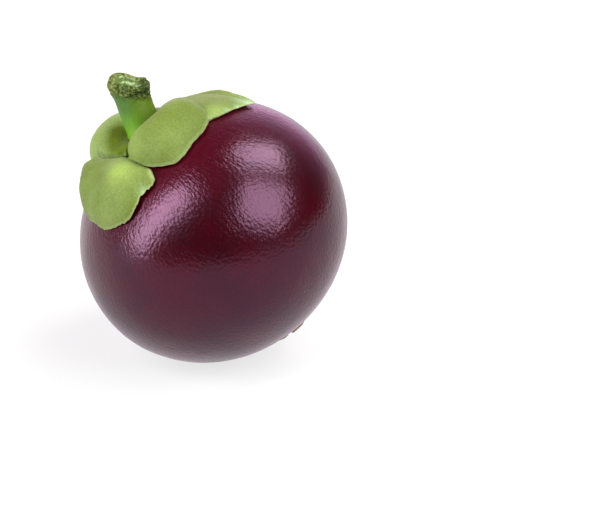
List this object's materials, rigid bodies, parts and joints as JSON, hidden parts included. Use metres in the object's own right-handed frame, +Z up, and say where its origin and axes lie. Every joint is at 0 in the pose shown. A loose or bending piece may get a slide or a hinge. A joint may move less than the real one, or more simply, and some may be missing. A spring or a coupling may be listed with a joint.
{
  "type": "mangosteen",
  "caption": "Whole mangosteen: a round glossy purple fruit with thick green sepals round a short cut stalk, resting on a small flat spot.",
  "frame": {"origin": "centre of the flat spot on which the fruit rests", "axes": "+Z up, -X towards the side that the stalk leans to, -Y towards the two front sepals"},
  "size_m": [0.0603, 0.0619, 0.0658],
  "materials": {
    "fruit_skin": "smooth waxy purple rind with a soft shine",
    "sepal": "matt, finely grained green, thick and leathery",
    "stalk": "green bark with a rough corky brown end",
    "rosette": "dry brown cork"
  },
  "bodies": {
    "root": {"fruit_body": "fruit_skin", "sepal_front_left": "sepal", "sepal_front_right": "sepal", "sepal_back_left": "sepal", "sepal_back_right": "sepal", "stem": "stalk", "stigma_rosette": "rosette"}
  },
  "joints": []
}
